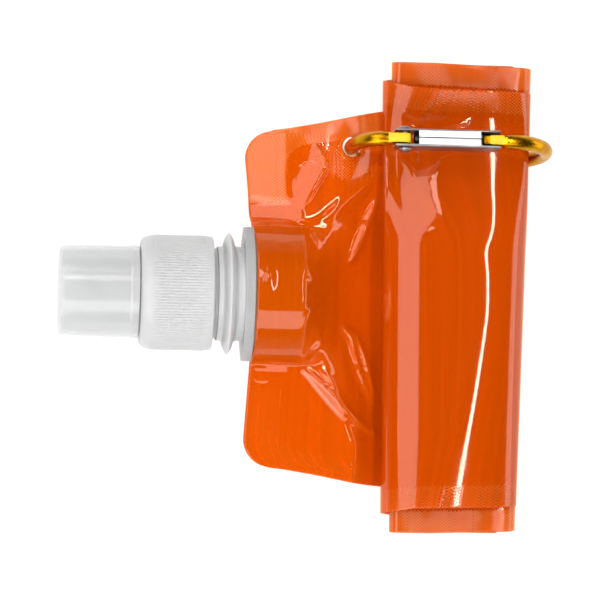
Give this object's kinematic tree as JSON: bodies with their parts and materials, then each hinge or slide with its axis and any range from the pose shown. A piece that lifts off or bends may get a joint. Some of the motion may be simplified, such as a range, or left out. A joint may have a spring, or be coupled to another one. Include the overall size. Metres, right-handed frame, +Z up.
{
  "type": "folding water bottle",
  "caption": "Folding film water bottle rolled up from its base, with ribbed screw cap, push-pull nozzle and clear dust cap, held by a carabiner through an eyelet.",
  "frame": {"origin": "middle of the bounding box in plan, on the surface that the bottle lies on", "axes": "-X along the spout, out of its mouth; +Y along the roll, towards the carabiner; +Z up, away from the surface that the bottle lies on"},
  "size_m": [0.124, 0.1184, 0.0302],
  "materials": {
    "orange_film": "glossy translucent orange laminate film",
    "gusset_orange": "translucent orange film with an embossed seal",
    "frosted_plastic": "frosted natural polyethylene",
    "clear_plastic": "clear polypropylene with a light haze",
    "nozzle_plastic": "soft white polyethylene",
    "anodised_yellow": "yellow anodised, polished",
    "steel": "plain steel, lightly brushed"
  },
  "bodies": {
    "pouch_roll": {"back_film_roll": "orange_film", "front_film_roll": "orange_film", "gusset_film": "gusset_orange"},
    "neck": {"spout_fitment": "frosted_plastic", "front_film_neck": "orange_film", "back_film_neck": "orange_film"},
    "liner": {"cap_liner": "nozzle_plastic"},
    "cap": {"screw_cap": "frosted_plastic"},
    "nozzle": {"drinking_nozzle": "nozzle_plastic"},
    "dust_cover": {"dust_cap": "clear_plastic"},
    "carabiner": {"carabiner_body": "anodised_yellow", "gate_rivet": "steel"},
    "gate": {"carabiner_gate": "steel", "spring_plunger": "steel", "gate_spring": "steel"}
  },
  "joints": [
    {"name": "neck_flex", "type": "hinge", "parent": "pouch_roll", "child": "neck", "pos_m": [0.004, 0, 0.0145], "axis": [0, 1, 0], "range_deg": [-10, 10], "stiffness_Nm_per_rad": 0.05},
    {"name": "cap_lift", "type": "slide", "parent": "neck", "child": "liner", "axis": [-1, 0, 0], "range_m": [0, 0.0064]},
    {"name": "cap_turn", "type": "hinge", "parent": "liner", "child": "cap", "pos_m": [-0.03, 0, 0.0151], "axis": [-1, 0, 0], "range_deg": [0, 721]},
    {"name": "nozzle_pull", "type": "slide", "parent": "cap", "child": "nozzle", "axis": [-1, 0, 0], "range_m": [0, 0.0044]},
    {"name": "dust_cap_off", "type": "slide", "parent": "cap", "child": "dust_cover", "axis": [-1, 0, 0], "range_m": [0, 0.03]},
    {"name": "carabiner_rock", "type": "hinge", "parent": "pouch_roll", "child": "carabiner", "pos_m": [0.0355, 0.0372, 0.012], "axis": [1, 0, 0], "range_deg": [-8, 8]},
    {"name": "gate_open", "type": "hinge", "parent": "carabiner", "child": "gate", "pos_m": [0.0232, 0.03934, 0.02207], "axis": [0, 0.9781, -0.2079], "range_deg": [0, 12], "stiffness_Nm_per_rad": 0.02, "springref_deg": -28.65}
  ],
  "couplings": [
    {"joint": "cap_turn", "follows": "cap_lift", "rad_per_m": 1963.5}
  ]
}
